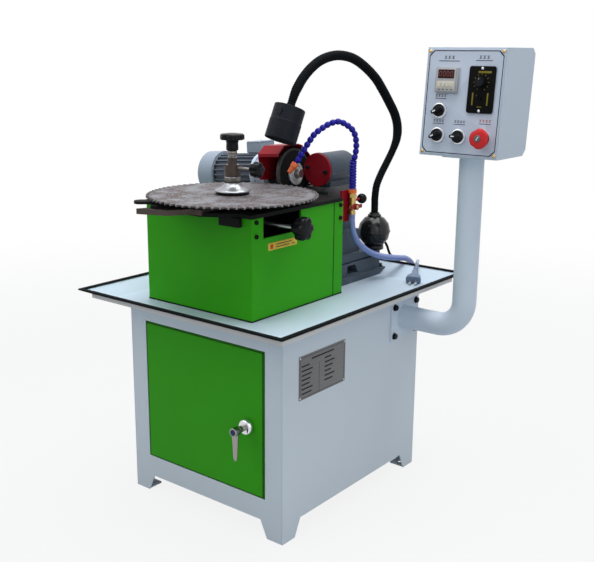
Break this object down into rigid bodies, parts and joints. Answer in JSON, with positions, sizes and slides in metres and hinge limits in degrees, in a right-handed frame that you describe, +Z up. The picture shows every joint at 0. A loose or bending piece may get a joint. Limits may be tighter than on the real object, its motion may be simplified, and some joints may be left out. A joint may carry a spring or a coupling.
{
  "type": "circular saw blade sharpener",
  "caption": "Floor-standing circular saw blade sharpener: cabinet with splash tray, tilted grinding head, blade carriage, coolant hose, gooseneck lamp and control box on a bent pipe.",
  "frame": {"origin": "on the floor, at the centre of the rectangle of the four floor bolt holes in the cabinet's feet", "axes": "+Z up; +X to the right of someone who faces the cabinet door, towards the control box; +Y to the back, away from the door"},
  "size_m": [0.7361, 0.734, 0.9685],
  "materials": {
    "white_paint": "powder coat, fine texture",
    "green_paint": "satin powder coat",
    "black_rubber": "matt",
    "black_paint": "blackened steel",
    "rust_steel": "dark, lightly rusted",
    "blade_steel": "aged, with brown stains",
    "bright_steel": "machined",
    "chrome": "polished",
    "slate_iron": "painted slate grey",
    "motor_grey": "painted light grey",
    "red_paint": "gloss",
    "abrasive": "bonded diamond grit",
    "brass": "turned",
    "blue_plastic": "moulded",
    "orange_plastic": "moulded",
    "lavender_hose": "clear blue tint",
    "black_plastic": "moulded",
    "grey_plastic": "moulded",
    "grey_cord": "matt",
    "red_plastic": "moulded"
  },
  "bodies": {
    "cabinet": {"cabinet_shell": "white_paint", "cabinet_shelf": "white_paint", "door_hinges": "bright_steel", "tray": "white_paint", "tray_edging": "black_rubber", "coolant_unit": "motor_grey", "housing": "green_paint", "side_cover": "green_paint", "cover_screws": "black_paint", "table_plate": "black_paint", "base_casting": "slate_iron", "valve_bracket": "red_paint", "valve_body": "brass", "coolant_hose": "blue_plastic", "supply_hose": "lavender_hose", "lamp_base": "black_plastic", "gooseneck": "black_rubber", "lamp_cable": "black_rubber", "stand_pipe": "white_paint", "box_shell": "white_paint", "front_panel": "white_paint", "counter": "grey_plastic", "governor_plate": "black_plastic", "mains_plug": "grey_plastic", "mains_lead": "grey_cord", "mains_coil": "grey_cord", "cable_glands": "black_plastic"},
    "door": {"cabinet_door": "green_paint"},
    "door_handle": {"handle_lever": "chrome"},
    "carriage": {"carriage_plate": "rust_steel", "blade_post": "rust_steel", "post_collar": "rust_steel"},
    "blade": {"blade_seat": "bright_steel", "saw_blade": "blade_steel", "cone_flange": "chrome"},
    "clamp": {"clamp_knob": "black_plastic"},
    "collar_clamp": {"collar_knob": "black_plastic"},
    "lock": {"lock_knob": "black_plastic"},
    "pawl": {"pawl_arm": "black_paint"},
    "head": {"saddle_plate": "bright_steel", "motor_body": "motor_grey", "motor_cowl": "motor_grey", "motor_flange": "white_paint", "terminal_box": "motor_grey", "wheel_guard": "red_paint", "gear_motor": "slate_iron", "gear_motor_plate": "red_paint"},
    "wheel": {"motor_shaft": "bright_steel", "grinding_wheel": "abrasive", "wheel_flange": "chrome"},
    "valve": {"valve_handle": "red_paint"},
    "nozzle_tip": {"nozzle": "orange_plastic"},
    "lamp": {"lamp_head": "black_plastic"},
    "lamp_rocker": {"lamp_switch": "black_plastic"},
    "governor": {"governor_knob": "black_plastic"},
    "toggle": {"governor_toggle": "chrome"},
    "selector_a": {"selector_top": "black_plastic"},
    "selector_b": {"selector_left": "black_plastic"},
    "selector_c": {"selector_right": "black_plastic"},
    "stop": {"stop_button": "red_plastic"}
  },
  "joints": [
    {"name": "door_hinge", "type": "hinge", "parent": "cabinet", "child": "door", "pos_m": [-0.16, -0.2428, 0.241], "axis": [0, 0, -1], "range_deg": [0, 110]},
    {"name": "handle_turn", "type": "hinge", "parent": "door", "child": "door_handle", "pos_m": [0.123, -0.2475, 0.233], "axis": [0, -1, 0], "range_deg": [0, 90]},
    {"name": "carriage_slide", "type": "slide", "parent": "cabinet", "child": "carriage", "axis": [0, -1, 0], "range_m": [0, 0.045]},
    {"name": "blade_spin", "type": "hinge", "parent": "carriage", "child": "blade", "pos_m": [0.003, -0.15391, 0.675], "axis": [0, 0, 1], "continuous": true},
    {"name": "clamp_turn", "type": "hinge", "parent": "carriage", "child": "clamp", "pos_m": [0.003, -0.15391, 0.78], "axis": [0, 0, 1], "range_deg": [0, 360]},
    {"name": "collar_clamp_turn", "type": "hinge", "parent": "carriage", "child": "collar_clamp", "pos_m": [0.045, -0.15391, 0.731], "axis": [1, 0, 0], "range_deg": [0, 360]},
    {"name": "lock_turn", "type": "hinge", "parent": "carriage", "child": "lock", "pos_m": [0.16, -0.13991, 0.623], "axis": [1, 0, 0], "range_deg": [0, 360]},
    {"name": "pawl_swing", "type": "hinge", "parent": "carriage", "child": "pawl", "pos_m": [-0.025, -0.26191, 0.667], "axis": [0, 0, 1], "range_deg": [-8, 8]},
    {"name": "head_feed", "type": "slide", "parent": "cabinet", "child": "head", "axis": [0, 1, 0], "range_m": [0, 0.04]},
    {"name": "wheel_spin", "type": "hinge", "parent": "head", "child": "wheel", "pos_m": [-0.022, 0.076, 0.6932], "axis": [0.9969, 0, 0.0785], "continuous": true},
    {"name": "valve_turn", "type": "hinge", "parent": "cabinet", "child": "valve", "pos_m": [0.107, 0.139, 0.624], "axis": [1, 0, 0], "range_deg": [0, 90]},
    {"name": "nozzle_swivel", "type": "hinge", "parent": "cabinet", "child": "nozzle_tip", "pos_m": [0.02272, 0.02586, 0.72287], "axis": [-0.8575, 0.5145, 0], "range_deg": [-15, 15]},
    {"name": "lamp_tilt", "type": "hinge", "parent": "cabinet", "child": "lamp", "pos_m": [0.017, 0.016, 0.847], "axis": [-0.9721, 0.2346, 0], "range_deg": [0, 25]},
    {"name": "lamp_rocker_tilt", "type": "hinge", "parent": "lamp", "child": "lamp_rocker", "pos_m": [0.01945, -0.02341, 0.83803], "axis": [0.9883, 0.0895, -0.1236], "range_deg": [-6, 6]},
    {"name": "governor_turn", "type": "hinge", "parent": "cabinet", "child": "governor", "pos_m": [0.40708, 0.11779, 0.90239], "axis": [0, -0.9956, 0.0941], "range_deg": [-150, 150]},
    {"name": "toggle_flip", "type": "hinge", "parent": "cabinet", "child": "toggle", "pos_m": [0.40708, 0.11218, 0.87279], "axis": [1, 0, 0], "range_deg": [0, 36]},
    {"name": "selector_a_turn", "type": "hinge", "parent": "cabinet", "child": "selector_a", "pos_m": [0.31905, 0.11343, 0.84564], "axis": [0, -0.9956, 0.0941], "range_deg": [-45, 45]},
    {"name": "selector_b_turn", "type": "hinge", "parent": "cabinet", "child": "selector_b", "pos_m": [0.31905, 0.10886, 0.79728], "axis": [0, -0.9956, 0.0941], "range_deg": [-45, 45]},
    {"name": "selector_c_turn", "type": "hinge", "parent": "cabinet", "child": "selector_c", "pos_m": [0.36612, 0.10876, 0.79621], "axis": [0, -0.9956, 0.0941], "range_deg": [-45, 45]},
    {"name": "stop_press", "type": "slide", "parent": "cabinet", "child": "stop", "axis": [0, 0.9956, -0.0941], "range_m": [0, 0.005], "stiffness_N_per_m": 600}
  ]
}
